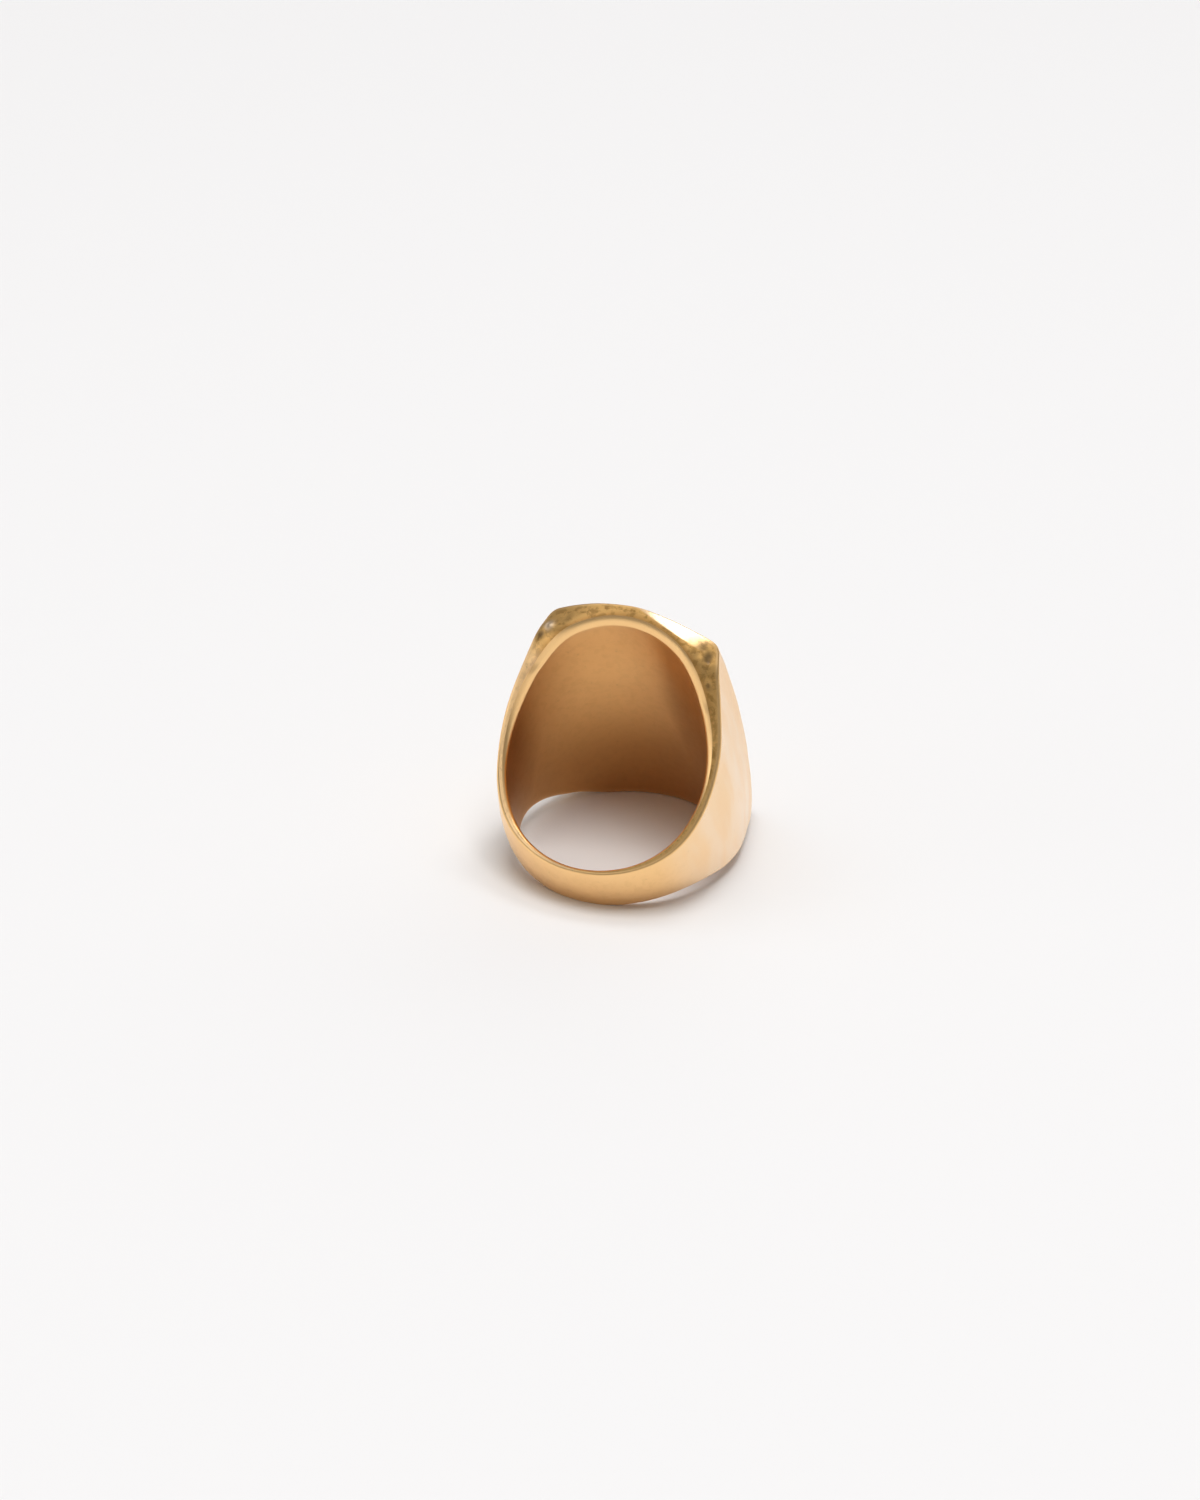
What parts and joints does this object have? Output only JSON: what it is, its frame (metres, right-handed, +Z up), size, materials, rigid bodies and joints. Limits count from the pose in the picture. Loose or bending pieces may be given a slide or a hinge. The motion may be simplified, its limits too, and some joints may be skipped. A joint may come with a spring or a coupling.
{
  "type": "signet ring",
  "caption": "Gold-toned signet ring lying on its side: a long crowned table on a bored head, with shoulders that taper to a narrow shank.",
  "frame": {"origin": "on the surface that the ring lies on, under the middle of the whole ring", "axes": "+Z up from the surface, +Y from the back of the shank towards the head and its table, +X across the ring; the finger hole runs in the YZ plane and leans towards -Y at the top"},
  "size_m": [0.02, 0.0248, 0.0232],
  "materials": {
    "gold_toned_metal": "worn satin polish with small pits and scratches"
  },
  "bodies": {
    "root": {"shank": "gold_toned_metal", "shoulder_right": "gold_toned_metal", "shoulder_left": "gold_toned_metal", "head": "gold_toned_metal", "table_plate": "gold_toned_metal"}
  },
  "joints": []
}
